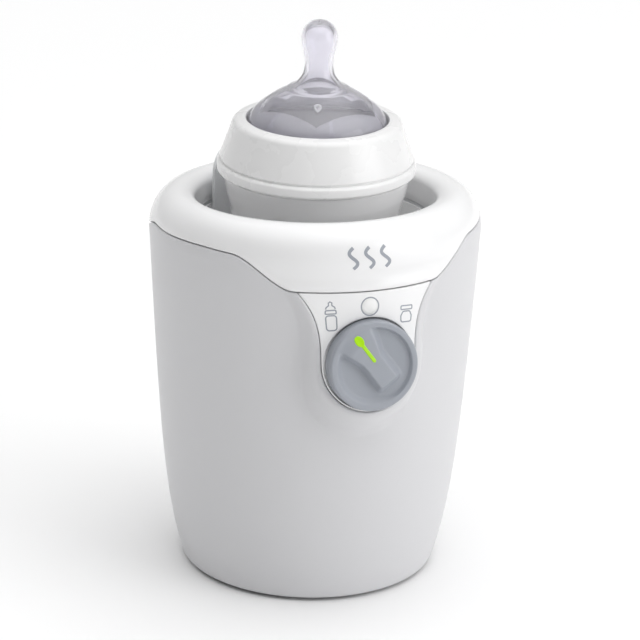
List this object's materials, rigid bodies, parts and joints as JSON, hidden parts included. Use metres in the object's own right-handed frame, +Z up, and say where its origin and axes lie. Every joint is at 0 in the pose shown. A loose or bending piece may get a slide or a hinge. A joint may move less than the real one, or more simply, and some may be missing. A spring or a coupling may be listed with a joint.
{
  "type": "bottle warmer",
  "caption": "Round electric bottle warmer with a raised front panel, a selector knob, a lift-out basket, and a feeding bottle with its ring and teat in the well.",
  "frame": {"origin": "centre of the foot ring's underside, on the well's axis", "axes": "+Z up along the well; the control panel faces -Y; +X is to the right of someone facing the panel"},
  "size_m": [0.1098, 0.1196, 0.1872],
  "materials": {
    "housing_white": "satin moulded ABS",
    "collar_white": "gloss moulded ABS",
    "chamber_white": "moulded polypropylene",
    "basket_clear": "translucent polypropylene",
    "knob_grey": "satin moulded plastic",
    "pointer_green": "gloss inlay",
    "lens_white": "diffusing lens",
    "bottle_clear": "clear polypropylene",
    "ring_white": "moulded polypropylene",
    "teat_clear": "clear silicone",
    "seal_rubber": "silicone rubber",
    "foot_rubber": "rubber",
    "heater_steel": "brushed",
    "spreader_aluminium": "cast",
    "screw_steel": "zinc plated",
    "switch_black": "matte",
    "gland_grey": "matte",
    "board_green": "solder resist",
    "terminal_ivory": "matte",
    "wire_white": "silicone sleeving",
    "ceramic": "ceramic",
    "lamp_glass": "clear"
  },
  "bodies": {
    "warmer": {"outer_housing": "housing_white", "top_collar": "collar_white", "control_panel": "collar_white", "base_plate": "housing_white", "foot_ring": "foot_rubber", "heating_chamber": "chamber_white", "chamber_seal": "seal_rubber", "heating_plate": "heater_steel", "plate_gasket": "seal_rubber", "heat_spreader": "spreader_aluminium", "ptc_element": "ceramic", "heater_clamp": "heater_steel", "thermostat": "switch_black", "thermal_fuse": "lamp_glass", "cord_gland": "gland_grey", "terminal_block": "terminal_ivory", "wiring": "wire_white", "selector_switch": "switch_black", "switch_bushing": "heater_steel", "switch_nut": "screw_steel", "circuit_board": "board_green", "board_components": "switch_black", "pilot_lens": "lens_white", "pilot_lamp": "lamp_glass", "base_screws": "screw_steel", "chamber_screws": "screw_steel", "heater_screws": "screw_steel", "panel_screws": "screw_steel", "board_screws": "screw_steel"},
    "knob": {"control_knob": "knob_grey", "knob_pointer": "pointer_green", "switch_shaft": "screw_steel"},
    "basket": {"lift_basket": "basket_clear", "basket_floor": "basket_clear"},
    "bottle": {"bottle_body": "bottle_clear"},
    "teat_body": {"teat": "teat_clear"},
    "ring": {"bottle_ring": "ring_white"}
  },
  "joints": [
    {"name": "knob_turn", "type": "hinge", "parent": "warmer", "child": "knob", "pos_m": [0, -0.0584, 0.0902], "axis": [0, 0.9925, -0.1219], "range_deg": [0, 76]},
    {"name": "basket_lift", "type": "slide", "parent": "warmer", "child": "basket", "axis": [0, 0, 1], "range_m": [0, 0.16]},
    {"name": "bottle_lift", "type": "slide", "parent": "basket", "child": "bottle", "axis": [0, 0, 1], "range_m": [0, 0.16]},
    {"name": "ring_rise", "type": "slide", "parent": "bottle", "child": "teat_body", "axis": [0, 0, 1], "range_m": [0, 0.006]},
    {"name": "ring_turn", "type": "hinge", "parent": "teat_body", "child": "ring", "pos_m": [0, 0, 0.145], "axis": [0, 0, 1], "range_deg": [0, 450]}
  ],
  "couplings": [
    {"joint": "ring_rise", "follows": "ring_turn", "m_per_rad": 0.00076394}
  ]
}
